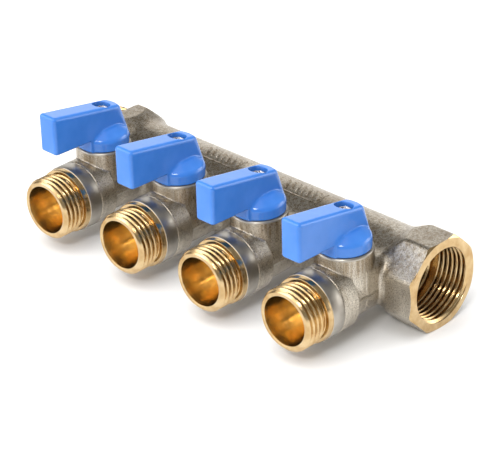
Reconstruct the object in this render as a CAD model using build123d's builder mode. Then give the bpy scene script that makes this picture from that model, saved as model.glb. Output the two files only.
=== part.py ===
from build123d import *
import os
from math import cos, sin, radians, sqrt

# Underfloor heating manifold: a forged brass bar with four built-in mini ball valves.
# Frame, in millimetres: the origin is the centre of the female inlet face, +X points out of
# that inlet, the outlets point along -Y and the valve stems stand up along +Z.

# ---- driving dimensions -------------------------------------------------------------------
VALVE_COUNT = 4
PITCH = 36.0
INLET_REACH = 21.8                    # inlet face to the first valve's axis
STEM_OFFSET = 21.3                    # main axis to the stem axes
OUTLET_REACH = 48.7                   # main axis to the outlet faces

# main bar
TUBE_R = 13.2
BAR_BORE_R = 10.0
OCTAGON_AF = 30.5
INLET_THREAD_MINOR_R = 12.06          # G 3/4, female
INLET_THREAD_DEPTH = 13.5
INLET_FLAT_LENGTH = 9.8
INLET_CONE_END = 16.6
SPIGOT_MAJOR_R = 13.22                # G 3/4, male
SPIGOT_ROOT_R = 11.9
SPIGOT_LENGTH = 11.0
SPIGOT_BORE_R = 9.6
SPIGOT_FLAT_START = 136.7             # distances from the inlet face along the bar
SPIGOT_SHOULDER = 142.0
SPIGOT_DOME_START = 130.8
SPIGOT_DOME_LENGTH = 3.9
DOME_R = 15.2
CORNER_BREAK = 0.7                    # turned corners of the octagonal ends

# branch, valve barrel and bonnet
BRANCH_R = 9.6
BARREL_R = 11.3
BARREL_START = 26.5
BARREL_END = 33.3
BONNET_R = 9.4
BONNET_TOP = 15.1
BONNET_ROOT = 1.2
WEB_TOP = 10.6
WEB_CORNER = 3.0
SEAM_CHAMFER = 0.3
RIM_CHAMFER = 0.4
STOP_OUTER_R = 6.7
STOP_INNER_R = 5.2
STOP_HEIGHT = 2.0
STOP_MARGIN = 12.0                    # degrees past each end of the handle's travel
BAR_FILLET = 2.2

# ball valve internals
BALL_R = 7.8
BALL_BORE_R = 5.0
BALL_CAVITY_R = 8.1
SEAT_R = 7.5
SEAT_POCKET_R = 7.55
SEAT_DEPTH = 3.4
SEAT_FACE = 4.7                       # ball centre to the seat's open face
SEAT_GAP = 0.05
BLADE_THICKNESS = 2.4
BLADE_WIDTH = 7.0
SLOT_FLOOR = 5.6
COLLAR_R = 4.2
COLLAR_BOTTOM = 7.9
COLLAR_TOP = 9.45
WASHER_BOTTOM = 9.5
WASHER_R = 4.3
COLLAR_GAP = 0.2
WASHER_TOP = 10.1
STEM_R = 3.0
STEM_BORE_R = 3.05
RING_GROOVE_R = 2.1
RING_HEIGHTS = (11.4, 13.4)
RING_WIDTH = 1.2

# outlet adapter, screwed into the barrel: G 1/2 male end
ADAPTER_THREAD_R = 9.4
ADAPTER_SPIGOT_R = 9.35
ADAPTER_INNER_END = 27.6
COLLAR_END = 38.4
RIM_END = 40.4
RELIEF_END = 41.1
RIM_R = 10.95
OUTLET_MAJOR_R = 10.478
OUTLET_ROOT_R = 9.3
OUTLET_BORE_R = 8.2
THROAT_R = 5.5
ADAPTER_SEAL_R = 10.3
SEAL_GROOVE = 1.2

OUTLET_CHAMFER = 0.9
THROAT_TAPER_START = 31.0
THROAT_TAPER_END = 35.5

# handle
HUB_R = 8.8
HUB_BOTTOM = 15.2
HUB_TOP = 29.0                        # height of the lever's top at the stem axis
SHOULDER_START = (HUB_R, 18.6)        # round skirt: (radius, height)
SHOULDER_MIDDLE = (8.55, 19.15)
SHOULDER_EDGE = (8.2, 19.45)
SHOULDER_END = (5.3, 21.6)
SHOULDER_TOP = 21.9
BACK_START = 19.2                     # the lever's back leans in as a cone above this height
BACK_TOP = (5.2, 31.0)
BACK_FILLET = 0.8
HUB_HOLLOW_R = 7.2
HUB_POST_R = 4.7
HOLLOW_TOP = 17.6
RIB_WIDTH = 1.6
PADDLE_HALF_WIDTH = 3.9
PADDLE_TIP = 24.3                     # stem axis to the tip
TIP_BOTTOM = 19.8
NOTCH_TOP = 19.2
TIP_TOP = 33.5
TIP_FILLET = 1.3
PADDLE_FILLET = 1.1
SCREW_FLOOR = 25.2
SCREW_HEAD_R = 2.75
SCREW_HEAD_TOP = 28.0
SCREW_HEAD_RIM = 1.4
SCREW_R = 1.5
SCREW_END = 17.0
SCREW_WELL_R = 3.0
RECESS_SPAN = 3.2
RECESS_WIDTH = 0.7
RECESS_DEPTH = 1.3
STEM_TOP = 23.2
DRIVE_HALF_FLAT = 2.2
DRIVE_BOTTOM = 17.6
DRIVE_GAP = 0.1

VALVE_X = [-(INLET_REACH + PITCH * k) for k in range(VALVE_COUNT)]
SPIGOT_END = SPIGOT_SHOULDER + SPIGOT_LENGTH
OCTAGON_CORNER_R = OCTAGON_AF / 2 / cos(radians(22.5))
STEM_SPOTS = [(x, -STEM_OFFSET) for x in VALVE_X]
os.makedirs("parts", exist_ok=True)


# ---- the forged bar -----------------------------------------------------------------------
def octagon_end(near, far, profile):
    """An octagonal prism along the bar, turned down by the revolved profile."""
    with BuildPart() as end:
        with BuildSketch(Plane.YZ.offset(-near)):
            RegularPolygon(OCTAGON_AF / 2, 8, major_radius=False, rotation=22.5)
        extrude(amount=near - far)
        with BuildSketch(Plane.XZ):
            with BuildLine():
                Polyline(*[(-x, r) for x, r in profile], close=True)
            make_face()
        revolve(axis=Axis.X, mode=Mode.INTERSECT)
    return end.part


inlet_end = octagon_end(
    0,
    INLET_CONE_END,
    [
        (0, 0),
        (0, OCTAGON_CORNER_R - CORNER_BREAK),
        (CORNER_BREAK / 2, OCTAGON_CORNER_R),
        (INLET_FLAT_LENGTH, OCTAGON_CORNER_R),
        (INLET_CONE_END, TUBE_R),
        (INLET_CONE_END, 0),
    ],
)
spigot_end = octagon_end(
    SPIGOT_DOME_START,
    SPIGOT_SHOULDER,
    [
        (SPIGOT_DOME_START, 0),
        (SPIGOT_DOME_START, TUBE_R - CORNER_BREAK / 4),
        (SPIGOT_DOME_START + SPIGOT_DOME_LENGTH, DOME_R),
        (SPIGOT_FLAT_START, OCTAGON_CORNER_R - CORNER_BREAK / 2),
        (SPIGOT_SHOULDER - CORNER_BREAK / 2, OCTAGON_CORNER_R),
        (SPIGOT_SHOULDER, OCTAGON_CORNER_R - CORNER_BREAK),
        (SPIGOT_SHOULDER, 0),
    ],
)

# One valve station: a pitch of tube with its neck, bonnet, barrel and valve bores, stem at X = 0.
def is_junction(edge):
    """True for the edges where the neck meets the bar's outer surface."""
    middle = edge @ 0.5
    on_tube = abs(sqrt(middle.Y**2 + middle.Z**2) - TUBE_R) < 0.01
    return on_tube and abs(middle.X) < BRANCH_R + 0.1 and middle.Y < -TUBE_R / 2


with BuildPart() as station:
    with BuildSketch(Plane.YZ.offset(-PITCH / 2)):
        Circle(TUBE_R)
    extrude(amount=PITCH)
    # arched neck: round below, straight-sided above, where it carries the bonnet
    with BuildSketch(Plane.XZ):
        with BuildLine():
            ThreePointArc((-BRANCH_R, 0), (0, -BRANCH_R), (BRANCH_R, 0))
            Line((BRANCH_R, 0), (BRANCH_R, WEB_TOP - WEB_CORNER))
            RadiusArc((BRANCH_R, WEB_TOP - WEB_CORNER), (BRANCH_R - WEB_CORNER, WEB_TOP), -WEB_CORNER)
            Line((BRANCH_R - WEB_CORNER, WEB_TOP), (WEB_CORNER - BRANCH_R, WEB_TOP))
            RadiusArc((WEB_CORNER - BRANCH_R, WEB_TOP), (-BRANCH_R, WEB_TOP - WEB_CORNER), -WEB_CORNER)
            Line((-BRANCH_R, WEB_TOP - WEB_CORNER), (-BRANCH_R, 0))
        make_face()
    extrude(amount=STEM_OFFSET)
    fillet(station.edges().filter_by(is_junction), BAR_FILLET)
    with BuildSketch(Plane.XZ.offset(STEM_OFFSET)):
        Circle(BRANCH_R)
    extrude(amount=BARREL_START - STEM_OFFSET + 1)
    with BuildSketch(Plane.XY.offset(-BONNET_ROOT)):
        with Locations((0, -STEM_OFFSET)):
            Circle(BONNET_R)
    extrude(amount=BONNET_TOP + BONNET_ROOT)
    with BuildSketch(Plane.XZ.offset(BARREL_START)):
        Circle(BARREL_R)
    extrude(amount=BARREL_END - BARREL_START)
    chamfer(station.faces().sort_by(Axis.Y)[0].edges(), SEAM_CHAMFER)
    chamfer(station.faces().sort_by(Axis.Z)[-1].edges(), RIM_CHAMFER)
    # quarter-turn stop: a low ring on the bonnet, open where the handle's rib travels
    with BuildSketch(Plane.XY.offset(BONNET_TOP)) as stop:
        with Locations((0, -STEM_OFFSET)):
            Circle(STOP_OUTER_R)
            Circle(STOP_INNER_R, mode=Mode.SUBTRACT)
        with BuildLine():
            Polyline(
                (0, -STEM_OFFSET),
                *[
                    (2 * STOP_OUTER_R * cos(radians(a)), 2 * STOP_OUTER_R * sin(radians(a)) - STEM_OFFSET)
                    for a in (-STOP_MARGIN, 45, 90 + STOP_MARGIN)
                ],
                close=True,
            )
        make_face(mode=Mode.SUBTRACT)
    extrude(amount=STOP_HEIGHT)

with BuildPart() as manifold_body:
    with Locations(*[(x, 0, 0) for x in VALVE_X]):
        add(station.part)
    add(inlet_end)
    add(spigot_end)
    # male spigot at the far end
    with BuildSketch(Plane.YZ.offset(-SPIGOT_END)):
        Circle(SPIGOT_MAJOR_R)
    extrude(amount=SPIGOT_LENGTH)
    chamfer(manifold_body.faces().sort_by(Axis.X)[0].edges(), SPIGOT_MAJOR_R - SPIGOT_ROOT_R)
    # main bore: through the bar, a little narrower in the spigot, threaded size in the inlet
    bar_bores = [
        (SPIGOT_BORE_R, 0, SPIGOT_END),
        (BAR_BORE_R, 0, SPIGOT_SHOULDER),
        (INLET_THREAD_MINOR_R, 0, INLET_THREAD_DEPTH),
    ]
    for radius, start, end in bar_bores:
        with BuildSketch(Plane.YZ.offset(-start)):
            Circle(radius)
        extrude(amount=start - end, mode=Mode.SUBTRACT)
    # along each outlet: waterway, seat pocket, ball cavity, adapter thread and seal groove
    inner_seat_end = STEM_OFFSET - SEAT_FACE
    outlet_bores = [
        (BALL_BORE_R, 0, STEM_OFFSET),
        (SEAT_POCKET_R, inner_seat_end - SEAT_DEPTH, STEM_OFFSET),
        (BALL_CAVITY_R, inner_seat_end, ADAPTER_INNER_END + 1),
        (ADAPTER_THREAD_R, ADAPTER_INNER_END, BARREL_END),
        (ADAPTER_SEAL_R, BARREL_END - SEAL_GROOVE, BARREL_END),
    ]
    for radius, start, end in outlet_bores:
        with BuildSketch(Plane.XZ.offset(start)):
            with Locations(*[(x, 0) for x in VALVE_X]):
                Circle(radius)
        extrude(amount=end - start, mode=Mode.SUBTRACT)
    # along each stem: collar pocket, then the sealing bore
    stem_bores = [(COLLAR_R + COLLAR_GAP, WASHER_TOP), (STEM_BORE_R, BONNET_TOP + STOP_HEIGHT)]
    for radius, top_height in stem_bores:
        with BuildSketch(Plane.XY):
            with Locations(*STEM_SPOTS):
                Circle(radius)
        extrude(amount=top_height, mode=Mode.SUBTRACT)
manifold_body.part.label = "manifold_body"
export_step(manifold_body.part, "parts/manifold_body.step")


# ---- pieces of one valve, with its stem axis at X = 0 --------------------------------------
def outlet_profile(points):
    """Points given as (distance from the main axis, radius) in the XZ-like plane X = radius."""
    return [(radius, -reach) for reach, radius in points]


with BuildPart() as outlet_adapter:
    seat_back = STEM_OFFSET + SEAT_FACE + SEAT_DEPTH
    with BuildSketch(Plane.XY):
        with BuildLine():
            Polyline(
                *outlet_profile(
                    [
                        (ADAPTER_INNER_END, SEAT_POCKET_R),
                        (ADAPTER_INNER_END, ADAPTER_SPIGOT_R),
                        (BARREL_END, ADAPTER_SPIGOT_R),
                        (BARREL_END, BARREL_R - SEAM_CHAMFER),
                        (BARREL_END + SEAM_CHAMFER, BARREL_R),
                        (COLLAR_END - SEAM_CHAMFER, BARREL_R),
                        (COLLAR_END, BARREL_R - SEAM_CHAMFER),
                        (COLLAR_END, RIM_R),
                        (RIM_END - SEAM_CHAMFER, RIM_R),
                        (RIM_END, RIM_R - SEAM_CHAMFER),
                        (RIM_END, OUTLET_ROOT_R),
                        (RELIEF_END, OUTLET_ROOT_R),
                        (RELIEF_END, OUTLET_MAJOR_R),
                        (OUTLET_REACH - OUTLET_CHAMFER, OUTLET_MAJOR_R),
                        (OUTLET_REACH, OUTLET_MAJOR_R - OUTLET_CHAMFER),
                        (OUTLET_REACH, OUTLET_BORE_R),
                        (THROAT_TAPER_END, OUTLET_BORE_R),
                        (THROAT_TAPER_START, THROAT_R),
                        (seat_back, THROAT_R),
                        (seat_back, SEAT_POCKET_R),
                    ]
                ),
                close=True,
            )
        make_face()
    revolve(axis=Axis.Y)

with BuildPart() as adapter_seal:
    seal_section_r = (ADAPTER_SEAL_R - ADAPTER_SPIGOT_R) / 2 - SEAT_GAP
    with BuildSketch(Plane.XY):
        with Locations(((ADAPTER_SEAL_R + ADAPTER_SPIGOT_R) / 2, SEAL_GROOVE / 2 - BARREL_END)):
            Circle(seal_section_r)
    revolve(axis=Axis.Y)

with BuildPart() as ball:
    with Locations((0, -STEM_OFFSET, 0)):
        Sphere(BALL_R)
        Cylinder(BALL_BORE_R, 2 * BALL_R, rotation=(90, 0, 0), mode=Mode.SUBTRACT)
        with Locations((0, 0, SLOT_FLOOR + BALL_R / 2)):
            Box(2 * BALL_R, BLADE_THICKNESS + 2 * DRIVE_GAP, BALL_R, mode=Mode.SUBTRACT)

seats = {}
for name, near in (
    ("seat_inner", STEM_OFFSET - SEAT_FACE - SEAT_DEPTH),
    ("seat_outer", STEM_OFFSET + SEAT_FACE),
):
    with BuildPart() as seat:
        with BuildSketch(Plane.XZ.offset(near)):
            Circle(SEAT_R)
            Circle(BALL_BORE_R, mode=Mode.SUBTRACT)
        extrude(amount=SEAT_DEPTH)
        with Locations((0, -STEM_OFFSET, 0)):
            Sphere(BALL_R + SEAT_GAP, mode=Mode.SUBTRACT)
    seats[name] = seat

with BuildPart() as stem:
    blade_foot = SLOT_FLOOR + DRIVE_GAP
    with BuildSketch(Plane.XY.offset(blade_foot)):
        with Locations((0, -STEM_OFFSET)):
            Rectangle(BLADE_WIDTH, BLADE_THICKNESS)
    extrude(amount=COLLAR_BOTTOM - blade_foot)
    with BuildSketch(Plane.XY.offset(COLLAR_BOTTOM)):
        with Locations((0, -STEM_OFFSET)):
            Circle(COLLAR_R)
    extrude(amount=COLLAR_TOP - COLLAR_BOTTOM)
    with BuildSketch(Plane.XY.offset(COLLAR_TOP)):
        with Locations((0, -STEM_OFFSET)):
            Circle(STEM_R)
    extrude(amount=STEM_TOP - COLLAR_TOP)
    for height in RING_HEIGHTS:
        with BuildSketch(Plane.XY.offset(height - RING_WIDTH / 2)):
            with Locations((0, -STEM_OFFSET)):
                Circle(STEM_R + 1)
                Circle(RING_GROOVE_R, mode=Mode.SUBTRACT)
        extrude(amount=RING_WIDTH, mode=Mode.SUBTRACT)
    for side in (-1, 1):
        with BuildSketch(Plane.XY.offset(DRIVE_BOTTOM)):
            with Locations((side * (DRIVE_HALF_FLAT + STEM_R), -STEM_OFFSET)):
                Rectangle(2 * STEM_R, 2 * STEM_R)
        extrude(amount=STEM_TOP - DRIVE_BOTTOM, mode=Mode.SUBTRACT)
    with BuildSketch(Plane.XY.offset(STEM_TOP)):
        with Locations((0, -STEM_OFFSET)):
            Circle(SCREW_R + SEAT_GAP)
    extrude(amount=SCREW_END - STEM_TOP - 1, mode=Mode.SUBTRACT)

with BuildPart() as stem_o_rings:
    for height in RING_HEIGHTS:
        with BuildSketch(Plane.XZ.offset(STEM_OFFSET)):
            with Locations(((RING_GROOVE_R + STEM_R) / 2, height)):
                Circle((STEM_R - RING_GROOVE_R) / 2)
        revolve(axis=Axis((0, -STEM_OFFSET, 0), (0, 0, 1)))

with BuildPart() as thrust_washer:
    with BuildSketch(Plane.XY.offset(WASHER_BOTTOM)):
        with Locations((0, -STEM_OFFSET)):
            Circle(WASHER_R)
            Circle(STEM_R + DRIVE_GAP, mode=Mode.SUBTRACT)
    extrude(amount=WASHER_TOP - WASHER_BOTTOM)

STEM_AXIS = Axis((0, -STEM_OFFSET, 0), (0, 0, 1))
STEM_PLANE = Plane.XZ.offset(STEM_OFFSET)

def lever_top(y):
    """Height of the lever's sloping top at a distance y from the stem axis."""
    return HUB_TOP - y * (TIP_TOP - HUB_TOP) / PADDLE_TIP


# The upright back of the handle: a cone about the stem, trimmed to the paddle's width and top.
with BuildPart() as handle_back:
    with BuildSketch(STEM_PLANE):
        with BuildLine():
            Polyline(
                (0, BACK_TOP[1]),
                (0, HUB_BOTTOM),
                (HUB_R, HUB_BOTTOM),
                (HUB_R, BACK_START),
                BACK_TOP,
                close=True,
            )
        make_face()
    revolve(axis=STEM_AXIS)
    with BuildSketch(Plane.YZ.offset(-PADDLE_HALF_WIDTH)):
        with BuildLine():
            Polyline(
                (-STEM_OFFSET, HUB_BOTTOM),
                (-STEM_OFFSET, HUB_TOP),
                (2 * HUB_R - STEM_OFFSET, lever_top(2 * HUB_R)),
                (2 * HUB_R - STEM_OFFSET, HUB_BOTTOM),
                close=True,
            )
        make_face()
    extrude(amount=2 * PADDLE_HALF_WIDTH, mode=Mode.INTERSECT)
    top_edge = handle_back.edges().filter_by(
        lambda e: (e @ 0.5).Z > SCREW_HEAD_TOP - 1 and (e @ 0.5).Y > BACK_TOP[0] - STEM_OFFSET - 0.2
    )
    fillet(top_edge, BACK_FILLET)

with BuildPart() as handle:
    with BuildSketch(Plane.YZ.offset(-PADDLE_HALF_WIDTH)):
        with BuildLine():
            Polyline(
                (-STEM_OFFSET, HUB_TOP),
                (-STEM_OFFSET - PADDLE_TIP, TIP_TOP),
                (-STEM_OFFSET - PADDLE_TIP, TIP_BOTTOM),
                (-STEM_OFFSET - HUB_R, NOTCH_TOP),
                (-STEM_OFFSET - HUB_R, HUB_BOTTOM),
                (-STEM_OFFSET, HUB_BOTTOM),
                close=True,
            )
        make_face()
    extrude(amount=2 * PADDLE_HALF_WIDTH)
    tip_face = handle.faces().sort_by(Axis.Y)[0]
    fillet(tip_face.edges(), TIP_FILLET)
    long_edges = handle.edges().filter_by(
        lambda e: abs(abs((e @ 0.5).X) - PADDLE_HALF_WIDTH) < 0.01
        and (e @ 0.5).Y < -STEM_OFFSET - PADDLE_TIP / 3
        and e.length > PADDLE_TIP / 3
        and abs((e @ 1).Y - (e @ 0).Y) > PADDLE_TIP / 3
    )
    fillet(long_edges, PADDLE_FILLET)
    add(handle_back.part)
    # round skirt that covers the bonnet
    with BuildSketch(STEM_PLANE):
        with BuildLine():
            Polyline((0, SHOULDER_TOP), (0, HUB_BOTTOM), (HUB_R, HUB_BOTTOM), SHOULDER_START)
            ThreePointArc(SHOULDER_START, SHOULDER_MIDDLE, SHOULDER_EDGE)
            Polyline(SHOULDER_EDGE, SHOULDER_END, (0, SHOULDER_TOP))
        make_face()
    revolve(axis=STEM_AXIS)
    # hollow of the skirt, with the rib that meets the quarter-turn stop
    with BuildSketch(Plane.XY.offset(HUB_BOTTOM)):
        with Locations((0, -STEM_OFFSET)):
            Circle(HUB_HOLLOW_R)
            Circle(HUB_POST_R, mode=Mode.SUBTRACT)
        with Locations((0, -STEM_OFFSET + HUB_HOLLOW_R / 2 + HUB_POST_R / 2)):
            Rectangle(RIB_WIDTH, HUB_HOLLOW_R - HUB_POST_R + 1, mode=Mode.SUBTRACT)
    extrude(amount=HOLLOW_TOP - HUB_BOTTOM, mode=Mode.SUBTRACT)
    # stem socket: round below, double-D above
    with BuildSketch(Plane.XY.offset(HUB_BOTTOM)):
        with Locations((0, -STEM_OFFSET)):
            Circle(STEM_R + DRIVE_GAP)
    extrude(amount=DRIVE_BOTTOM - HUB_BOTTOM, mode=Mode.SUBTRACT)
    with BuildSketch(Plane.XY.offset(DRIVE_BOTTOM)):
        with Locations((0, -STEM_OFFSET)):
            Circle(STEM_R + DRIVE_GAP)
            Rectangle(2 * (DRIVE_HALF_FLAT + DRIVE_GAP), 4 * STEM_R, mode=Mode.INTERSECT)
    extrude(amount=STEM_TOP + DRIVE_GAP - DRIVE_BOTTOM, mode=Mode.SUBTRACT)
    with BuildSketch(Plane.XY.offset(STEM_TOP)):
        with Locations((0, -STEM_OFFSET)):
            Circle(SCREW_R + DRIVE_GAP)
    extrude(amount=SCREW_FLOOR - STEM_TOP, mode=Mode.SUBTRACT)
    with BuildSketch(Plane.XY.offset(SCREW_FLOOR)):
        with Locations((0, -STEM_OFFSET)):
            Circle(SCREW_WELL_R)
    extrude(amount=TIP_TOP - SCREW_FLOOR, mode=Mode.SUBTRACT)

with BuildPart() as handle_screw:
    with BuildSketch(STEM_PLANE):
        with BuildLine():
            Polyline(
                (0, SCREW_HEAD_TOP),
                (0, SCREW_END),
                (SCREW_R, SCREW_END),
                (SCREW_R, SCREW_FLOOR),
                (SCREW_HEAD_R, SCREW_FLOOR),
                (SCREW_HEAD_R, SCREW_FLOOR + SCREW_HEAD_RIM),
            )
            ThreePointArc(
                (SCREW_HEAD_R, SCREW_FLOOR + SCREW_HEAD_RIM),
                (0.75 * SCREW_HEAD_R, SCREW_HEAD_TOP - 0.3 * SCREW_HEAD_RIM),
                (0, SCREW_HEAD_TOP),
            )
        make_face()
    revolve(axis=STEM_AXIS)
    for angle in (0, 90):
        with Locations(Location((0, -STEM_OFFSET, SCREW_HEAD_TOP), (0, 0, angle))):
            Box(RECESS_SPAN, RECESS_WIDTH, 2 * RECESS_DEPTH, mode=Mode.SUBTRACT)

# ---- place every valve's pieces and write them ----------------------------------------------
prototypes = {
    "outlet_adapter": outlet_adapter,
    "adapter_seal": adapter_seal,
    "ball": ball,
    "seat_inner": seats["seat_inner"],
    "seat_outer": seats["seat_outer"],
    "stem": stem,
    "stem_o_rings": stem_o_rings,
    "thrust_washer": thrust_washer,
    "handle": handle,
    "handle_screw": handle_screw,
}
for number, x in enumerate(VALVE_X, 1):
    for piece_name, prototype in prototypes.items():
        with BuildPart() as placed:
            with Locations((x, 0, 0)):
                add(prototype.part)
        placed.part.label = f"{piece_name}_{number}"
        export_step(placed.part, f"parts/{piece_name}_{number}.step")
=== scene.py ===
import math

import bpy
import numpy as np
from mathutils import Matrix, Vector


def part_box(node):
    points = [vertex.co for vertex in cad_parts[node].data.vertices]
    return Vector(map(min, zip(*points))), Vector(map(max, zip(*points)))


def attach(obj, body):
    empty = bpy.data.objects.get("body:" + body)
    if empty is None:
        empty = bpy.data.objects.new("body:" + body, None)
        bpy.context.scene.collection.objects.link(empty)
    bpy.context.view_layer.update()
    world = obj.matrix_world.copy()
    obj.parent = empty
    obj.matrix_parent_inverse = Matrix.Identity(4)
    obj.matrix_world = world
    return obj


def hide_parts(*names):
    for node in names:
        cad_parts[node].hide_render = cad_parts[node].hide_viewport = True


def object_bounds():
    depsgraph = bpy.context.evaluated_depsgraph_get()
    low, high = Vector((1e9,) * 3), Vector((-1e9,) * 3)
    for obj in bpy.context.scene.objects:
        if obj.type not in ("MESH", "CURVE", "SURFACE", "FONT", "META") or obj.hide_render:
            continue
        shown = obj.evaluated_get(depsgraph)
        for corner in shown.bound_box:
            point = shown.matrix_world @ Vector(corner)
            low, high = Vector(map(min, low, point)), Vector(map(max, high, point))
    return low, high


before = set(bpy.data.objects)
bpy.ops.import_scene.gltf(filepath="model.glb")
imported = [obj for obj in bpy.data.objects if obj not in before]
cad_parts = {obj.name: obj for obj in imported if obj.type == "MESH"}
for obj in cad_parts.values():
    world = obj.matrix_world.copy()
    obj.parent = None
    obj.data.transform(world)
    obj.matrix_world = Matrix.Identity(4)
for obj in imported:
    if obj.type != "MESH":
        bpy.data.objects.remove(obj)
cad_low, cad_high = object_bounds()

# Underfloor heating manifold. Shapes are worked out in millimetres in the CAD frame: +X out of the
# female inlet, outlets along -Y, stems along +Z; meshes are written in metres. Distances along the
# bar start at the inlet face and grow towards the far end, distances along an outlet start at the
# bar's axis, and heights start at the bar's axis.
MM = 0.001
OPEN = 1.0                           # how far a bore runs on past its open end
TINY = 1e-9

# ---- valve stations ------------------------------------------------------------------------------
BALLS = {number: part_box(f"ball_{number}") for number in (1, 2, 3, 4)}
VALVES = {number: (lowest.x + highest.x) / 2 / MM for number, (lowest, highest) in BALLS.items()}
FIRST_X = VALVES[1]
PITCH = VALVES[1] - VALVES[2]
STEM_Y = 21.3

# ---- threads: G 3/4 and G 1/2, both 14 to the inch, as radii -------------------------------------
THREAD_PITCH = 1.814
THREAD_MAJOR_34 = 13.22
THREAD_MINOR_34 = 12.06
THREAD_MAJOR_12 = 10.478
THREAD_MINOR_12 = 9.316

# ---- bar, octagons and spigot --------------------------------------------------------------------
TUBE_R = 13.2
BAR_BORE_R = 10.0
OCTAGON_HALF = 15.25
OCTAGON_CORNER_R = OCTAGON_HALF / math.cos(math.pi / 8)
OCTAGON_EDGE = 0.7
INLET_CONE = ((9.8, OCTAGON_CORNER_R), (16.6, TUBE_R))
INLET_LIMIT = 22.0                   # the octagon ends inside the tube
FACE_R = 15.35                       # inlet face, inside its turned chamfer
FACE_CHAMFER_SLOPE = 1.53            # radius gained per millimetre behind the face
MOUTH_DEPTH = 1.3                    # front of the inlet that is made as a turned piece
MOUTH_BORE_R = 13.6                  # where the turned piece meets the forging
INLET_THREAD_END = 12.6
INLET_RELIEF_R = 13.3
INLET_RELIEF_END = 13.5
FAR_LIMIT = 125.0
FAR_EDGE = 0.3
DOME_START = (130.8, 12.9)
DOME_KNEE = (134.7, OCTAGON_HALF)
DOME_END = (137.4, 16.6)
SPIGOT_SHOULDER = 142.0
SPIGOT_END = 153.0
SHOULDER_CHAMFER = ((141.65, OCTAGON_CORNER_R), (SPIGOT_SHOULDER, OCTAGON_CORNER_R - 0.7))
SPIGOT_CORE_R = 11.8
SPIGOT_ROOT_R = 11.9
SPIGOT_BORE_R = 9.6
SPIGOT_RUN_OUT = 146.0               # the thread rises out of its relief from here

# ---- neck, bonnet, stop and barrel of one valve --------------------------------------------------
NECK_R = 9.6
NECK_TOP = 10.6
NECK_CORNER = 3.0
SEAM_R = 9.45                        # the forging's parting line stands on the branch
SEAM_BEAD_R = 0.62
SEAM_START = 17.0
BONNET_R = 9.4
BONNET_BOTTOM = -1.2
BONNET_TOP = 14.75
RIM_TOP = 15.1
STOP_INNER_R = 5.2
STOP_OUTER_R = 6.7
STOP_TOP = 17.1
BARREL_R = 11.3
BARREL_START = 26.5
BARREL_END = 33.3

# bores as (radius, start, end): along the bar, along an outlet and up the stem
BAR_BORES = (
    (SPIGOT_BORE_R, -OPEN, SPIGOT_END + OPEN),
    (BAR_BORE_R, -OPEN, SPIGOT_SHOULDER),
    (13.45, 0.25, 13.7),             # room for the thread in the inlet's turned piece
    (13.5, -OPEN, 5.0),              # and for its front
)
OUTLET_BORES = (
    (5.0, 0.0, STEM_Y),              # port from the bar
    (7.55, 13.2, STEM_Y),            # inner seat
    (8.1, 16.6, 28.6),               # ball chamber
    (9.45, 27.6, BARREL_END + OPEN),  # adapter
)
STEM_BORES = (
    (4.4, 0.0, 10.1),                # stem collar
    (3.05, 0.0, 18.0),               # stem
)

# ---- outlet adapter ------------------------------------------------------------------------------
COLLAR_END = 38.4
RIM_END = 40.4
RELIEF_END = 41.1
OUTLET_END = 48.7
OUTLET_BORE_R = 8.2
ADAPTER_START = 27.6
ADAPTER_TAIL_R = 9.35

# ---- raised pads on the bar ----------------------------------------------------------------------
PAD_HALF_LENGTH = 8.4
PAD_HALF_ARC = 3.4
PAD_SHIFT = 0.3                      # towards the back of the bar
PAD_HEIGHT = 0.2
PAD_ROOT = 0.6                       # depth below the tube's surface
RIBS_A_SIDE = 3
RIB_PITCH = 2.3
RIB_SLANT = 0.35
RIB_HALF_WIDTH = 0.55
RIB_HALF_ARC = 2.0
RIB_HEIGHT = 0.65

# ---- handle and screw, round the stem axis -------------------------------------------------------
HANDLE_BOTTOM = 15.2
HANDLE_HALF_WIDTH = 3.9
PADDLE_TIP = 24.3
PADDLE_TOP = ((0.0, 29.0), (PADDLE_TIP, 33.5))             # (reach, height)
PADDLE_UNDERSIDE = ((8.65, 19.2), (PADDLE_TIP, 19.8))
BLOCK_REACH = 8.7
BLOCK_TOP = 24.0
BACK_CONE = ((19.2, 8.8), (31.0, 5.2))                     # (height, radius)
SKIRT_R = 8.8
SKIRT_SHOULDER = ((-8.2, 19.45), (-5.3, 21.6))             # (minus radius, height)
SKIRT_TOP = 21.95
SKIRT_TOP_SLOPE = 0.055
HOLLOW_OUTER_R = 7.2
HOLLOW_INNER_R = 4.7
HOLLOW_TOP = 17.6
STOP_RIB_HALF_WIDTH = 0.8
SOCKET_R = 3.1
SOCKET_HALF_FLAT = 2.3
SOCKET_TOP = 23.3
SCREW_HOLE_R = 1.6
SCREW_SHANK_R = 1.5
SCREW_BOTTOM = 17.0
SCREW_SHANK_TOP = 26.0
WELL_R = 3.0
WELL_FLOOR = 25.2                    # the screw's head sits on it
SCREW_HEAD_R = 2.75
CROWN_CENTRE = 22.3
CROWN_R = 5.7
CROSS_FLOOR = 26.8
CROSS_HALF_ARM = 0.4                 # at the screw's top, with what it loses per millimetre of depth
CROSS_HALF_ARM_LOSS = 0.12
CROSS_REACH = 1.5
CROSS_REACH_LOSS = 0.6


# ---- distance functions: negative inside, in millimetres -----------------------------------------
def join(a, b, radius=0.0):
    """Union with a circular fillet."""
    if not radius:
        return np.minimum(a, b)
    corner = np.hypot(np.maximum(radius - a, 0), np.maximum(radius - b, 0))
    return np.maximum(radius, np.minimum(a, b)) - corner


def common(a, b, radius=0.0):
    """Intersection with a rounded edge."""
    if not radius:
        return np.maximum(a, b)
    corner = np.hypot(np.maximum(radius + a, 0), np.maximum(radius + b, 0))
    return np.minimum(-radius, np.maximum(a, b)) + corner


def cut(a, b, radius=0.0):
    return common(a, -b, radius)


def slab(v, low, high):
    return np.maximum(low - v, v - high)


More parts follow.
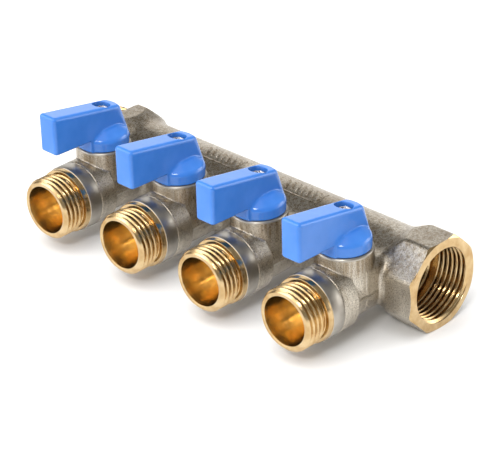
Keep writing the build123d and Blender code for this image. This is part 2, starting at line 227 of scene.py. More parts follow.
def slope(s, r, start, end):
    """Below the line from start to end, both (distance, radius), for growing distance."""
    ds, dr = end[0] - start[0], end[1] - start[1]
    length = math.hypot(ds, dr)
    return ((r - start[1]) * ds - (s - start[0]) * dr) / length


def drill(body, away, along, bores):
    """Cuts bores, as (radius, start, end), out of a body."""
    for radius, start, end in bores:
        body = cut(body, np.maximum(away - radius, slab(along, start, end)))
    return body


def octagon(y, z, rounding):
    """Both octagons of the bar, without their ends."""
    square = np.maximum(np.abs(y), np.abs(z)) - OCTAGON_HALF
    diagonal = (np.abs(y) + np.abs(z)) / math.sqrt(2) - OCTAGON_HALF
    return common(square, diagonal, rounding)


def bar_shape(s, y, z):
    """Tube, both octagons and the core of the spigot."""
    r = np.hypot(y, z)
    tube = np.maximum(r - TUBE_R, slab(s, 1, SPIGOT_SHOULDER - 1))
    # inlet octagon, turned down by a cone behind its flats
    cone = np.maximum(slope(s, r, *INLET_CONE), s - INLET_LIMIT)
    inlet = common(octagon(y, z, OCTAGON_EDGE), cone, 0.5)
    body = join(tube, inlet, 1.2)
    body = common(body, MOUTH_DEPTH - s)
    # far octagon with its domed shoulder
    dome = common(slope(s, r, DOME_START, DOME_KNEE), slope(s, r, DOME_KNEE, DOME_END), 1.2)
    far = common(octagon(y, z, FAR_EDGE), np.maximum(dome, FAR_LIMIT - s), 0.1)
    far = common(far, slope(s, r, *SHOULDER_CHAMFER))
    body = join(body, far, 1.0)
    body = common(body, s - SPIGOT_SHOULDER, 0.3)
    core = common(r - SPIGOT_CORE_R, s - SPIGOT_END + 0.3, 0.5)
    return join(body, np.maximum(core, SPIGOT_SHOULDER - 5 - s), 0.3)


def neck_shape(u, t, z):
    """Round below and boxed above, from the bar to the stem."""
    qx, qz = np.abs(u) - (NECK_R - NECK_CORNER), z - (NECK_TOP - NECK_CORNER)
    outside = np.hypot(np.maximum(qx, 0), np.maximum(qz, 0))
    box = outside + np.minimum(np.maximum(qx, qz), 0) - NECK_CORNER
    arch = np.where(z < 0, np.hypot(u, z) - NECK_R, box)
    return np.maximum(arch, slab(t, 0, STEM_Y))


def add_station(body, u, t, z):
    """Adds one valve's neck, branch, bonnet, barrel and stop; u from its stem, t along its outlet."""
    ru = np.hypot(u, z)
    stem_r = np.hypot(u, t - STEM_Y)
    body = join(body, neck_shape(u, t, z), 2.2)
    branch = np.maximum(ru - NECK_R, slab(t, STEM_Y - 6, BARREL_START + 1))
    seam = np.hypot(np.abs(u) - SEAM_R, z - 0.1) - SEAM_BEAD_R
    branch = join(branch, np.maximum(seam, slab(t, SEAM_START, BARREL_START + 0.5)), 0.5)
    body = join(body, branch, 0.4)
    bonnet = common(stem_r - BONNET_R, np.maximum(z - BONNET_TOP, BONNET_BOTTOM - z), 0.2)
    body = join(body, bonnet, 0.45)
    barrel = common(ru - BARREL_R, np.maximum(BARREL_START - t, t - BARREL_END + 0.6), 0.45)
    body = join(body, barrel, 0.4)
    # stop: three quarters of a ring on top of the bonnet. Known fault: its gap is in the quadrant
    # opposite the one that the handle's rib moves in, so rib and ring overlap inside the skirt
    middle, half = (STOP_INNER_R + STOP_OUTER_R) / 2, (STOP_OUTER_R - STOP_INNER_R) / 2
    stop = np.maximum(np.abs(stem_r - middle) - half, slab(z, BONNET_TOP - 0.75, STOP_TOP))
    return join(body, np.maximum(stop, np.minimum(-u + 0.5, t - STEM_Y + 0.5)))


def forged_body(x, y, z):
    s, t = -x, -y
    # one valve station repeated along the bar
    index = np.clip(np.round((FIRST_X - x) / PITCH), 0, len(VALVES) - 1)
    u = x - FIRST_X + PITCH * index
    body = add_station(bar_shape(s, y, z), u, t, z)
    body = drill(body, np.hypot(y, z), s, BAR_BORES)
    body = drill(body, np.hypot(u, z), t, OUTLET_BORES)
    return drill(body, np.hypot(u, t - STEM_Y), z, STEM_BORES)


def pad_shape(x, y, z):
    """Raised pad on top of the bar behind a bonnet, with plain slanted ribs on it."""
    height = np.hypot(y, z) - TUBE_R
    arc = np.arctan2(y, z) * TUBE_R + PAD_SHIFT
    pad = common(np.abs(x) - PAD_HALF_LENGTH, np.abs(arc) - PAD_HALF_ARC, 0.8)
    pad = common(pad, height - PAD_HEIGHT, 0.12)
    across = x + RIB_SLANT * arc
    nearest = np.clip(np.round(across / RIB_PITCH), -RIBS_A_SIDE, RIBS_A_SIDE)
    across = np.abs(across - RIB_PITCH * nearest) - RIB_HALF_WIDTH
    rib = common(across, np.abs(arc) - RIB_HALF_ARC, 0.4)
    rib = common(rib, height - RIB_HEIGHT, 0.25)
    return np.maximum(join(pad, rib, 0.1), -PAD_ROOT - height)


def lever_shape(x, reach, z, r):
    """Paddle and the block that carries it; reach is measured from the stem towards the tip."""
    side = np.abs(x) - HANDLE_HALF_WIDTH
    top = slope(reach, z, *PADDLE_TOP)
    # a side profile between two parallel faces
    paddle = common(common(side, top, 1.4), reach - PADDLE_TIP, 1.3)
    paddle = np.maximum(common(paddle, -slope(reach, z, *PADDLE_UNDERSIDE), 0.9), -reach)
    # block down the front of the skirt
    block = np.maximum(reach - BLOCK_REACH, z - BLOCK_TOP)
    block = common(np.maximum(side, HANDLE_BOTTOM - z), block, 0.35)
    paddle = np.minimum(paddle, np.maximum(block, -reach))
    # back of the paddle, a cone about the stem trimmed to the same width
    back = common(common(side, top, 1.4), slope(z, r, *BACK_CONE), 1.1)
    back = np.maximum(back, reach - 0.01)
    return np.maximum(np.minimum(paddle, back), HANDLE_BOTTOM - z)


def handle_shape(x, y, z):
    """Blue lever over one stem; x and y from the stem axis, y negative towards the tip."""
    r = np.hypot(x, y)
    # round skirt with its sloping shoulder
    skirt = common(r - SKIRT_R, slope(-r, z, *SKIRT_SHOULDER), 0.9)
    skirt = common(skirt, z - SKIRT_TOP + SKIRT_TOP_SLOPE * r, 0.4)
    skirt = common(skirt, HANDLE_BOTTOM - z, 0.25)
    body = join(lever_shape(x, -y, z, r), skirt, 0.55)
    # hollow below with the rib for the stop, stem socket and screw well
    hollow = np.maximum(np.maximum(r - HOLLOW_OUTER_R, HOLLOW_INNER_R - r), z - HOLLOW_TOP)
    hollow = cut(hollow, np.maximum(np.abs(x) - STOP_RIB_HALF_WIDTH, -y))
    body = cut(body, hollow, 0.2)
    body = cut(body, np.maximum(r - SOCKET_R, z - HOLLOW_TOP))
    socket = np.maximum(r - SOCKET_R, np.abs(x) - SOCKET_HALF_FLAT)
    body = cut(body, np.maximum(socket, z - SOCKET_TOP))
    body = cut(body, np.maximum(r - SCREW_HOLE_R, z - SCREW_SHANK_TOP))
    return cut(body, np.maximum(r - WELL_R, WELL_FLOOR - z), 0.3)


def screw_shape(x, y, z):
    """Pan head with a tapering cross recess, on a plain shank."""
    r = np.hypot(x, y)
    crown = np.sqrt(r * r + (z - CROWN_CENTRE) ** 2) - CROWN_R
    head = common(common(r - SCREW_HEAD_R, crown, 0.4), WELL_FLOOR - z, 0.1)
    shank = np.maximum(r - SCREW_SHANK_R, slab(z, SCREW_BOTTOM, SCREW_SHANK_TOP))
    depth = CROWN_CENTRE + CROWN_R - z
    half_arm = CROSS_HALF_ARM - CROSS_HALF_ARM_LOSS * depth
    reach = CROSS_REACH - CROSS_REACH_LOSS * depth
    one_arm = np.maximum(np.abs(x) - half_arm, np.abs(y) - reach)
    other_arm = np.maximum(np.abs(y) - half_arm, np.abs(x) - reach)
    cross = np.minimum(one_arm, other_arm)
    return cut(join(head, shank, 0.15), np.maximum(cross, CROSS_FLOOR - z), 0.12)


# ---- meshing -------------------------------------------------------------------------------------
CORNERS = np.array([(i, j, k) for i in (0, 1) for j in (0, 1) for k in (0, 1)])
EDGES = [
    (a, b)
    for a in range(8)
    for b in range(a + 1, 8)
    if np.abs(CORNERS[a] - CORNERS[b]).sum() == 1
]
LAYERS_AT_ONCE = 32
SETTLING_PASSES = 3


def gradient(shape, p, step):
    """Value and gradient of a distance function at points p."""
    value = shape(*p.T)
    parts = []
    for axis in range(3):
        shift = np.zeros(3)
        shift[axis] = step
        parts.append(shape(*(p + shift).T) - shape(*(p - shift).T))
    return value, np.stack(parts, 1) / (2 * step)


def settle(shape, points, step):
    """Moves points onto the zero level, by less than half a cell at a time."""
    for _ in range(SETTLING_PASSES):
        value, g = gradient(shape, points, step / 8)
        move = value[:, None] * g / np.maximum((g * g).sum(1), 0.05)[:, None]
        length = np.linalg.norm(move, axis=1, keepdims=True)
        points -= move * np.minimum(1, 0.4 * step / np.maximum(length, TINY))
    return points


def cell_points(field, cells, low, step):
    """One point in each cell that the surface passes through: the middle of its edge crossings."""
    values = np.stack([field[tuple((cells + c).T)] for c in CORNERS], 1)
    total = np.zeros((len(cells), 3))
    hits = np.zeros(len(cells))
    for a, b in EDGES:
        va, vb = values[:, a], values[:, b]
        crossed = (va < 0) != (vb < 0)
        share = np.where(crossed, va / np.where(crossed, va - vb, 1), 0)[:, None]
        point = CORNERS[a] + share * (CORNERS[b] - CORNERS[a])
        total += np.where(crossed[:, None], point, 0)
        hits += crossed
    return np.array(low) + step * (cells + total / hits[:, None])


def cell_quads(inside, number, axis):
    """Quads round the grid edges along one axis that cross the surface, wound outwards."""
    size = inside.shape
    u, v = (axis + 1) % 3, (axis + 2) % 3
    first = [slice(None)] * 3
    second = [slice(None)] * 3
    first[axis], second[axis] = slice(0, -1), slice(1, None)
    a, b = inside[tuple(first)], inside[tuple(second)]
    edge = np.argwhere(a != b)
    keep = (edge[:, u] > 0) & (edge[:, v] > 0) & (edge[:, u] < size[u] - 1) & (edge[:, v] < size[v] - 1)
    edge = edge[keep]
    du, dv = np.zeros(3, int), np.zeros(3, int)
    du[u], dv[v] = 1, 1
    ring = [edge - du - dv, edge - dv, edge, edge - du]
    ids = np.stack([number[tuple(c.T)] for c in ring], 1)
    outward = a[tuple(edge.T)]
    return np.where(outward[:, None], ids, ids[:, ::-1])


def net(shape, low, high, step):
    """Surface net of a distance function: points on the zero level and the quads between them."""
    axes = [np.arange(low[a], high[a] + step, step, dtype=np.float32) for a in range(3)]
    x, y, z = axes[0][:, None, None], axes[1][None, :, None], axes[2][None, None, :]
    size = tuple(len(a) for a in axes)
    field = np.empty(size, np.float32)
    for start in range(0, size[0], LAYERS_AT_ONCE):
        part = slice(start, start + LAYERS_AT_ONCE)
        field[part] = shape(x[part], y, z)
    inside = field < 0
    count = np.zeros(tuple(n - 1 for n in size), np.int8)
    for i, j, k in CORNERS:
        count += inside[i : size[0] - 1 + i, j : size[1] - 1 + j, k : size[2] - 1 + k]
    cells = np.argwhere((count > 0) & (count < 8))
    points = cell_points(field, cells, low, step)
    number = np.full(count.shape, -1, np.int32)
    number[tuple(cells.T)] = np.arange(len(cells))
    quads = [cell_quads(inside, number, axis) for axis in range(3)]
    return settle(shape, points, step), np.concatenate(quads)


def mesh_from(name, points, faces):
    """Mesh in metres from points in millimetres and faces of one size."""
    mesh = bpy.data.meshes.new(name)
    mesh.vertices.add(len(points))
    mesh.vertices.foreach_set("co", (points * MM).astype(np.float32).ravel())
    corners = faces.shape[1]
    mesh.loops.add(faces.size)
    mesh.loops.foreach_set("vertex_index", faces.astype(np.int32).ravel())
    mesh.polygons.add(len(faces))
    mesh.polygons.foreach_set("loop_start", np.arange(0, faces.size, corners, dtype=np.int32))
    mesh.update(calc_edges=True)
    mesh.validate()
    return mesh


def smooth_normals(mesh, shape, step):
    """Shading normals from the distance function."""
    co = np.empty(len(mesh.vertices) * 3, np.float32)
    mesh.vertices.foreach_get("co", co)
    _, g = gradient(shape, co.reshape(-1, 3).astype(float) / MM, step)
    g /= np.maximum(np.linalg.norm(g, axis=1, keepdims=True), TINY)
    mesh.polygons.foreach_set("use_smooth", np.ones(len(mesh.polygons), bool))
    mesh.normals_split_custom_set_from_vertices(g.tolist())


def solid(name, shape, low, high, step, triangles):
    """Object of a distance function between two corners, thinned to about that many triangles."""
    points, faces = net(shape, low, high, step)
    mesh = mesh_from(name, points, faces)
    obj = bpy.data.objects.new(name, mesh)
    bpy.context.scene.collection.objects.link(obj)
    ratio = triangles / (2 * len(faces))
    if ratio < 1:
        thin = obj.modifiers.new("thin", "DECIMATE")
        thin.ratio = ratio
        dg = bpy.context.evaluated_depsgraph_get()
        thinned = bpy.data.meshes.new_from_object(obj.evaluated_get(dg))
        obj.modifiers.clear()
        obj.data = thinned
        thinned.name = name
    smooth_normals(obj.data, shape, step / 6)
    print("solid", name, len(faces) * 2, "->", len(obj.data.polygons))
    return obj


# ---- turned pieces: closed stacks of rings -------------------------------------------------------
def whitworth(phase):
    """Height of a 55 degree thread over one pitch, 0 at the root and 1 at the crest, rounded."""
    wave = 1 - np.abs(2 * (phase - np.floor(phase)) - 1)
    height = (wave - 1 / 6) / (4 / 6)
    soft = 0.1
    height = np.logaddexp(0, height / soft) * soft
    height = 1 - np.logaddexp(0, (1 - height) / soft) * soft
    return np.clip(height, 0, 1)


def turned(slot, *profile):
    """Rows of a turned profile, given as (distance, radius), all in one material slot."""
    return [(distance, radius, slot) for distance, radius in profile]


def helix(start, end, minor, major, envelope, slot, per_pitch, turn=0.0):
    """Rows of a thread between two distances; envelope(distance, radius) limits the radius."""
    rows = []
    count = int(abs(end - start) / THREAD_PITCH * per_pitch)
    for k in range(count):
        distance = start + (end - start) * k / count

        def radius(angle, distance=distance):
            height = whitworth(distance / THREAD_PITCH - angle / (2 * math.pi) + turn)
            return envelope(distance, minor + (major - minor) * height)

        rows.append((distance, radius, slot))
    return rows


def rings(name, path, around, place):
    """Closed mesh through rings. path: (distance, radius or radius function of angle, slot index).
    place(distance, radius, angle) gives points in millimetres."""
    angle = np.arange(around) * 2 * math.pi / around
    rows = []
    for distance, radius, _ in path:
        value = radius(angle) if callable(radius) else np.full(around, float(radius))
        rows.append(place(distance, value, angle))
    count = len(path)
    i = np.arange(around)
    faces, slots = [], []
    for k, (_, _, slot) in enumerate(path):
        a, b = k * around, ((k + 1) % count) * around
        faces.append(np.stack([a + i, a + (i + 1) % around, b + (i + 1) % around, b + i], 1))
        slots += [slot] * around
    mesh = mesh_from(name, np.concatenate(rows), np.concatenate(faces))
    mesh.polygons.foreach_set("material_index", np.array(slots, np.int32))
    return mesh


def about_outlet(distance, radius, angle):
    return np.stack([radius * np.cos(angle), np.full_like(angle, -distance), radius * np.sin(angle)], 1)


def about_bar(distance, radius, angle):
    return np.stack([np.full_like(angle, -distance), -radius * np.cos(angle), radius * np.sin(angle)], 1)


def about_stem(distance, radius, angle):
    level = -STEM_Y - radius * np.sin(angle)
    return np.stack([radius * np.cos(angle), level, np.full_like(angle, distance)], 1)


def shade(mesh, degrees=32):
    """Smooth shading with the real edges kept sharp."""
    mesh.polygons.foreach_set("use_smooth", np.ones(len(mesh.polygons), bool))
    mesh.update()
    mesh.set_sharp_from_angle(angle=math.radians(degrees))


def put(mesh_or_obj, name, body, slot, materials, x=0.0, y=0.0, replaced=()):
    """Places an object, or a new one for a mesh, and lets it ride on a body."""
    if isinstance(mesh_or_obj, bpy.types.Mesh):
        obj = bpy.data.objects.new(name, mesh_or_obj)
        bpy.context.scene.collection.objects.link(obj)
    else:
        obj = mesh_or_obj
    if not obj.data.materials:
        for material in materials:
            obj.data.materials.append(material)
    obj.location = (x * MM, y * MM, 0)
    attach(obj, body)
    if replaced:
        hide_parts(*replaced)
    return obj


# ---- materials -----------------------------------------------------------------------------------
COLLAR_LIGHT = (0.46, 0.43, 0.38, 1)
COLLAR_DARK = (0.33, 0.30, 0.26, 1)
NICKEL_LIGHT = (0.65, 0.60, 0.51, 1)
NICKEL_DARK = (0.44, 0.38, 0.30, 1)
# painted reflection: dark brown streaks standing in for the reflections that run down the upright faces
NICKEL_PAINTED_REFLECTION = (0.26, 0.19, 0.11, 1)
NICKEL_PIT = (0.12, 0.10, 0.08, 1)
BRASS_LIGHT = (0.69, 0.52, 0.29, 1)
BRASS_DARK = (0.49, 0.31, 0.13, 1)
# painted light: the bore's brass is lighter than the plain brass, standing in for light bouncing round
# inside the bore
BORE_PAINTED_FILL_LIGHT = (0.87, 0.70, 0.41, 1)
BORE_PAINTED_FILL_DARK = (0.66, 0.49, 0.25, 1)
BLUE_DARK = (0.039, 0.185, 0.60, 1)
BLUE_LIGHT = (0.056, 0.215, 0.66, 1)
ZINC_LIGHT = (0.72, 0.72, 0.74, 1)
ZINC_DARK = (0.5, 0.5, 0.53, 1)
CHROME_LIGHT = (0.75, 0.76, 0.78, 1)
CHROME_DARK = (0.62, 0.63, 0.66, 1)
PTFE_LIGHT = (0.86, 0.86, 0.84, 1)
PTFE_DARK = (0.8, 0.8, 0.77, 1)
RUBBER_DARK = (0.016, 0.016, 0.017, 1)
RUBBER_LIGHT = (0.03, 0.03, 0.03, 1)
PAPER_LIGHT = (0.90, 0.90, 0.90, 1)
PAPER_DARK = (0.88, 0.88, 0.88, 1)
REFLECTION_STREAKS_FROM = 6 * MM                # painted reflection streaks run down the bonnets and fade out below them
REFLECTION_STREAKS_FULL = 10.5 * MM
RAW_THREAD_R = 13.6 * MM             # the forging is raw brass inside the inlet and the bar's bore
RAW_THREAD_DEPTH = 14.2 * MM
RAW_BORE_R = (BAR_BORE_R + 0.05) * MM


class Nodes:
    """A small writer for one material's nodes. Noise scales are per metre."""

    def __init__(self, name):
        self.material = bpy.data.materials.new(name)
        self.material.use_nodes = True
        self.tree = self.material.node_tree
        self.shader = self.tree.nodes["Principled BSDF"]

    def add(self, kind, inputs=None, **settings):
        node = self.tree.nodes.new(kind)
        for key, value in settings.items():
            setattr(node, key, value)
        for key, value in (inputs or {}).items():
            self.feed(node.inputs[key], value)
        return node

    def feed(self, socket, value):
        if isinstance(value, bpy.types.NodeSocket):
            self.tree.links.new(value, socket)
        else:
            socket.default_value = value

    def math(self, operation, a, b=0.0):
        return self.add("ShaderNodeMath", {0: a, 1: b}, operation=operation).outputs[0]

    def place(self):
        return self.add("ShaderNodeTexCoord").outputs["Object"]

    def axes(self):
        split = self.add("ShaderNodeSeparateXYZ", {"Vector": self.place()})
        return split.outputs[0], split.outputs[1], split.outputs[2]

    def noise(self, scale, detail=2.0, rough=0.5, vector=None):
        vector = self.place() if vector is None else vector
        inputs = {"Vector": vector, "Scale": scale, "Detail": detail, "Roughness": rough}
        return self.add("ShaderNodeTexNoise", inputs).outputs["Fac"]

    def ramp(self, value, low, high, start=0.0, end=1.0):
        """low up to start, high from end on, and even in between."""
        node = self.add("ShaderNodeMapRange", {0: value, 1: start, 2: end, 3: low, 4: high})
        return node.outputs[0]

    def mix(self, share, a, b):
        return self.add("ShaderNodeMix", {0: share, 6: a, 7: b}, data_type="RGBA").outputs[2]

    def bump(self, height, depth, strength, normal=None):
        """depth in millimetres."""
        inputs = {"Height": height, "Distance": depth * MM, "Strength": strength}
        if normal is not None:
            inputs["Normal"] = normal
        return self.add("ShaderNodeBump", inputs).outputs[0]

    def radius(self, axis):
        """Distance along an axis and from it, in metres, for a turned piece."""
        x, y, z = self.axes()
        along, a, b = (y, x, z) if axis == "y" else (x, y, z)
        square = self.math("ADD", self.math("MULTIPLY", a, a), self.math("MULTIPLY", b, b))
        return along, self.math("SQRT", square)

    def turning(self, axis, per_metre):
        """Fine tool marks: rings on the faces and round the cylinders."""
        along, radius = self.radius(axis)
        across = self.math("MULTIPLY", self.math("ADD", along, radius), per_metre)
        inputs = {"W": across, "Scale": 1.0, "Detail": 2.0}
        return self.add("ShaderNodeTexNoise", inputs, noise_dimensions="1D").outputs["Fac"]

    def blend(self, noise, first, second, start=0.3, end=0.7):
        """Colour that drifts from first to second with a noise."""
        return self.mix(self.ramp(noise, 0, 1, start, end), first, second)

    def finish(self, colour, roughness, normal=None, **shader):
        self.feed(self.shader.inputs["Base Color"], colour)
        self.feed(self.shader.inputs["Roughness"], roughness)
        if normal is not None:
            self.feed(self.shader.inputs["Normal"], normal)
        for key, value in shader.items():
            self.shader.inputs[key.replace("_", " ")].default_value = value
        return self.material


def forged_nickel(name, machined):
    """Blasted and plated forging; machined adds the raw brass of the bores."""
    n = Nodes(name)
    grain = n.noise(3000, detail=3, rough=0.75)
    pits = n.noise(3200, rough=0.6)
    waves = n.noise(160)
    stain = n.noise(60, detail=3, rough=0.6)
    # dark streaks stretched upright and strongest high on the bonnets: painted reflections, not marks in
    # the plating
    stretched = n.add("ShaderNodeMapping", {"Vector": n.place(), "Scale": (1.0, 1.0, 0.1)}).outputs[0]
    reflection_streaks = n.noise(900, detail=3, rough=0.6, vector=stretched)
    colour = n.blend(stain, NICKEL_LIGHT, NICKEL_DARK, start=0.35, end=0.68)
    upright = n.ramp(n.axes()[2], 0.15, 1.0, REFLECTION_STREAKS_FROM, REFLECTION_STREAKS_FULL)
    painted_reflection = n.math("MULTIPLY", n.ramp(reflection_streaks, 0.75, 0, start=0.34, end=0.58), upright)
    colour = n.mix(painted_reflection, colour, NICKEL_PAINTED_REFLECTION)
    colour = n.mix(n.ramp(pits, 0.75, 0, start=0.34, end=0.52), colour, NICKEL_PIT)
    rough = n.ramp(grain, 0.22, 0.42, start=0.3, end=0.7)
    if machined:
        along, radius = n.radius("x")
        thread = n.math("LESS_THAN", radius, RAW_THREAD_R)
        thread = n.math("MULTIPLY", thread, n.math("GREATER_THAN", along, -RAW_THREAD_DEPTH))
        raw = n.math("MAXIMUM", thread, n.math("LESS_THAN", radius, RAW_BORE_R))
        brass = n.mix(n.noise(400), BRASS_LIGHT, BRASS_DARK)
        colour = n.mix(raw, colour, brass)
        rough = n.math("MULTIPLY", rough, n.ramp(raw, 1.0, 0.62))
    height = n.math("ADD", grain, n.math("MULTIPLY", pits, 1.2))
    height = n.math("ADD", height, n.math("MULTIPLY", waves, 2.5))
    return n.finish(colour, rough, n.bump(height, 0.07, 0.9), Metallic=1.0)


def collar_nickel():
    """Machined and plated: smoother, with faint rings."""
    n = Nodes("collar_nickel")
    marks = n.turning("y", 9000)
    grain = n.noise(2600)
    colour = n.blend(n.noise(150), COLLAR_LIGHT, COLLAR_DARK, start=0.35)
    rough = n.ramp(grain, 0.32, 0.44, start=0.3, end=0.7)
    normal = n.bump(grain, 0.03, 0.3, n.bump(marks, 0.02, 0.5))
    return n.finish(colour, rough, normal, Metallic=1.0)


def raw_brass(name, axis, light=BRASS_LIGHT, dark=BRASS_DARK):
    """Turned about an axis, and left without plating."""
    n = Nodes(name)
    marks = n.turning(axis, 12000)
    colour = n.blend(n.noise(260, detail=3, rough=0.6), light, dark)
    rough = n.ramp(marks, 0.10, 0.24, start=0.3, end=0.7)
    normal = n.bump(n.noise(2500), 0.02, 0.25, n.bump(marks, 0.02, 0.55))
    return n.finish(colour, rough, normal, Metallic=1.0)


def handle_blue():
    """Moulded and glossy, with a faint orange peel."""
    n = Nodes("handle_blue")
    dust = n.noise(5200, detail=3, rough=0.65)
    colour = n.blend(n.noise(140), BLUE_DARK, BLUE_LIGHT)
    rough = n.ramp(dust, 0.09, 0.2, start=0.3, end=0.75)
    normal = n.bump(dust, 0.01, 0.3, n.bump(n.noise(900), 0.02, 0.25))
    return n.finish(colour, rough, normal, IOR=1.5)


def plain_metal(name, light, dark, low, high, scale=1800.0):
    """Metal of an inner part or a screw; its roughness drifts from low to high."""
    n = Nodes(name)
    grain = n.noise(scale, detail=3)
    colour = n.blend(n.noise(scale / 8), light, dark)
    rough = n.ramp(grain, low, high, start=0.3, end=0.7)
    return n.finish(colour, rough, n.bump(grain, 0.03, 0.3), Metallic=1.0)


def polymer(name, light, dark, low, high):
    """Seat or seal; its roughness drifts from low to high."""
    n = Nodes(name)
    grain = n.noise(1500, detail=3)
    colour = n.blend(n.noise(300), light, dark)
    rough = n.ramp(grain, low, high, start=0.3, end=0.7)
    return n.finish(colour, rough, n.bump(grain, 0.03, 0.4))


def paper():
    n = Nodes("floor_paper")
    return n.finish(n.mix(n.noise(6), PAPER_LIGHT, PAPER_DARK), 0.8)


nickel = forged_nickel("forged_nickel", True)
plain_nickel = forged_nickel("forged_nickel_plain", False)
collar = collar_nickel()
brass_outlet = raw_brass("raw_brass_outlet", "y")
brass_bar = raw_brass("raw_brass_bar", "x")
# lighter copy of the raw brass for the adapters' bores: painted bounce light
bore_brass_painted_fill = raw_brass("raw_brass_bore_painted_fill", "y", BORE_PAINTED_FILL_LIGHT, BORE_PAINTED_FILL_DARK)
blue = handle_blue()
steel = plain_metal("screw_zinc", ZINC_LIGHT, ZINC_DARK, 0.14, 0.3)
chrome = plain_metal("ball_chrome", CHROME_LIGHT, CHROME_DARK, 0.06, 0.12, scale=500)
stem_brass = plain_metal("stem_brass", BRASS_LIGHT, BRASS_DARK, 0.18, 0.32)
ptfe = polymer("seat_ptfe", PTFE_LIGHT, PTFE_DARK, 0.35, 0.5)
rubber = polymer("seal_rubber", RUBBER_DARK, RUBBER_LIGHT, 0.4, 0.6)

FINISHES = {
    "ball": chrome,
    "stem": stem_brass,
    "seat_inner": ptfe,
    "seat_outer": ptfe,
    "stem_o_rings": rubber,
    "adapter_seal": rubber,
    "thrust_washer": ptfe,
    "outlet_adapter": brass_outlet,
    "handle": blue,
    "handle_screw": steel,
    "manifold_body": nickel,
}
for node_name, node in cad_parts.items():
    finish = FINISHES.get(node_name) or FINISHES[node_name.rsplit("_", 1)[0]]
    node.data.materials.clear()
    node.data.materials.append(finish)

# ---- the forged bar ------------------------------------------------------------------------------
bar = solid(
    "manifold_forging", forged_body, (-153.6, -34, -17.2), (0.6, 17.2, 17.6), step=0.42, triangles=185000
)
put(bar, "manifold_forging", "manifold", "body_nickel", [nickel], replaced=["manifold_body"])


# ---- inlet mouth: threaded bore, raw face, turned chamfer and the front of the octagon -----------
RAW_SLOT, PLATED_SLOT = 0, 1
MOUTH_BACK = 14.4
CHAMFER_ROWS = 20
CHAMFER_STEP = 0.04                  # between the rows of the turned chamfer
MOUTH_OVERLAP = 0.15


def mouth_envelope(distance, radius):
    return np.maximum(radius, 12.42 - np.maximum(distance, 0))


def octagon_radius(angle):
    """Radius of the inlet octagon by bisection, a hair proud of the forging."""
    near, far = np.full_like(angle, 14.0), np.full_like(angle, 17.5)
    for _ in range(30):
        middle = (near + far) / 2
        inside = octagon(middle * np.cos(angle), middle * np.sin(angle), OCTAGON_EDGE) < 0.012
        near, far = np.where(inside, middle, near), np.where(inside, far, middle)
    return near


def mouth_outline(distance):
    return lambda angle: np.minimum(octagon_radius(angle), FACE_R + FACE_CHAMFER_SLOPE * distance)


def plate_flats(mesh):
    """Gives the octagon's flats the plated slot and leaves the rest raw."""
    count = len(mesh.polygons)
    centres, normals = np.empty(count * 3, np.float32), np.empty(count * 3, np.float32)
    mesh.polygons.foreach_get("center", centres)
    mesh.polygons.foreach_get("normal", normals)
    centres, normals = centres.reshape(-1, 3), normals.reshape(-1, 3)
    outside = np.hypot(centres[:, 1], centres[:, 2]) > 14.5 * MM
    plated = outside & (np.abs(normals[:, 0]) < 0.4)
    slots = np.where(plated, PLATED_SLOT, RAW_SLOT).astype(np.int32)
    mesh.polygons.foreach_set("material_index", slots)


def inlet_path():
    """Rows from the face down the thread to the bar's bore, and back up outside the thread."""
    full_octagon = mouth_outline(2.0)
    back = MOUTH_DEPTH + MOUTH_OVERLAP
    path = [(0.0, mouth_outline(0.0), RAW_SLOT)]
    path += turned(RAW_SLOT, (0.0, 14.4), (0.0, MOUTH_BORE_R))
    path += helix(
        0.0, INLET_THREAD_END, THREAD_MINOR_34, THREAD_MAJOR_34, mouth_envelope, RAW_SLOT,
        per_pitch=18, turn=0.125,
    )
    path += turned(
        RAW_SLOT,
        (INLET_THREAD_END + 0.02, INLET_RELIEF_R), (INLET_RELIEF_END, INLET_RELIEF_R),
        (INLET_RELIEF_END, 12.6), (INLET_RELIEF_END, 10.4), (13.9, BAR_BORE_R - 0.01),
        (MOUTH_BACK, BAR_BORE_R - 0.01), (MOUTH_BACK, MOUTH_BORE_R), (back, MOUTH_BORE_R),
    )
    path += turned(RAW_SLOT, (back, full_octagon), (1.0, full_octagon))
    for k in range(CHAMFER_ROWS, 0, -1):
        path.append((CHAMFER_STEP * k, mouth_outline(CHAMFER_STEP * k), RAW_SLOT))
    return path


inlet_mesh = rings("inlet_mouth", inlet_path()[::-1], around=512, place=about_bar)
plate_flats(inlet_mesh)
shade(inlet_mesh)
put(inlet_mesh, "inlet_mouth", "manifold", "adapter_brass", [brass_bar, plain_nickel])


# ---- male spigot thread at the far end -----------------------------------------------------------
def spigot_envelope(distance, radius):
    front = SPIGOT_END - distance + THREAD_MINOR_34 - 0.1
    back = SPIGOT_ROOT_R + np.maximum(distance - SPIGOT_RUN_OUT, 0) * 1.2
    return np.minimum(np.minimum(radius, front), back)


spigot_path = turned(0, (142.02, 11.5), (142.02, SPIGOT_ROOT_R), (145.5, SPIGOT_ROOT_R))
spigot_path += helix(
    145.8, 152.9, THREAD_MINOR_34, THREAD_MAJOR_34, spigot_envelope, 0, per_pitch=18
)
spigot_path += turned(
    0,
    (SPIGOT_END, SPIGOT_ROOT_R), (SPIGOT_END, 10.0), (152.6, SPIGOT_BORE_R),
    (150.0, 9.58), (150.0, 11.5),
)
spigot_mesh = rings("spigot_thread", spigot_path, around=256, place=about_bar)
shade(spigot_mesh)
put(spigot_mesh, "spigot_thread", "manifold", "adapter_brass", [brass_bar])


# ---- outlet adapters, with the machined lip of the barrel and the rim of the bonnet --------------
NICKEL_SLOT, BRASS_SLOT, BORE_SLOT = 0, 1, 2
LIP_START = 31.2
LIP_INNER_R = 10.6
RIM_BOTTOM = 14.2


def outlet_envelope(distance, radius):
    front = OUTLET_END - distance + THREAD_MAJOR_12 - 0.95
    back = ADAPTER_TAIL_R + np.maximum(distance - RELIEF_END, 0) * 1.3
    return np.minimum(np.minimum(radius, front), back)


